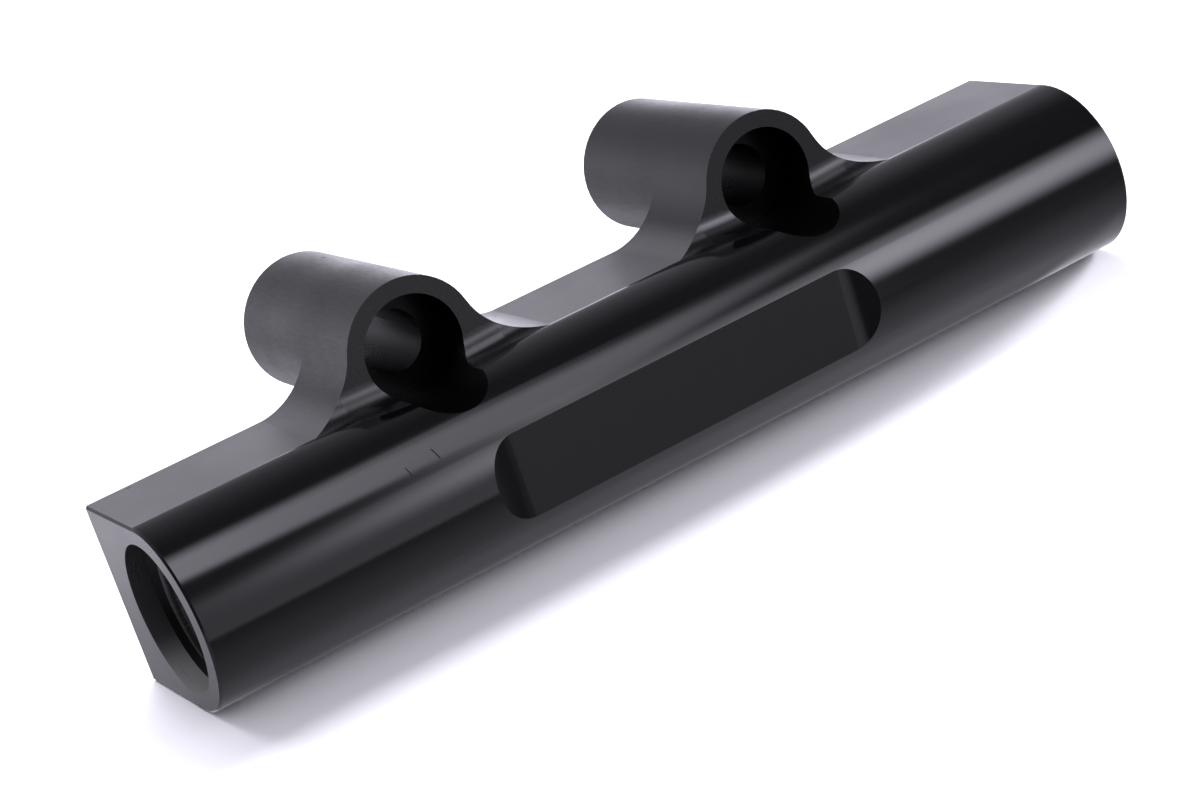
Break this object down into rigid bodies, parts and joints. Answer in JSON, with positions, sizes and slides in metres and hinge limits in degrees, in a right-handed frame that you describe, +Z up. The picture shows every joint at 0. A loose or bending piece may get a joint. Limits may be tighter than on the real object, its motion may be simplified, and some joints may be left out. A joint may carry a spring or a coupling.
{
  "type": "fuel rail",
  "caption": "Machined one-piece fuel rail: a round-fronted bar with a through gallery, a threaded port at each end, injector cups at the back and two tubular screw bosses.",
  "frame": {"origin": "on the fuel gallery's axis, at the middle of the rail's length", "axes": "+X along the gallery and the rail's length, +Y from the round front to the boss seats and injector cups, +Z up from the gallery towards the bosses"},
  "size_m": [0.1474, 0.0508, 0.0392],
  "materials": {
    "black_anodise": "black anodised, semi-gloss, fine machining marks"
  },
  "bodies": {
    "root": {"fuel_rail_body": "black_anodise"}
  },
  "joints": []
}
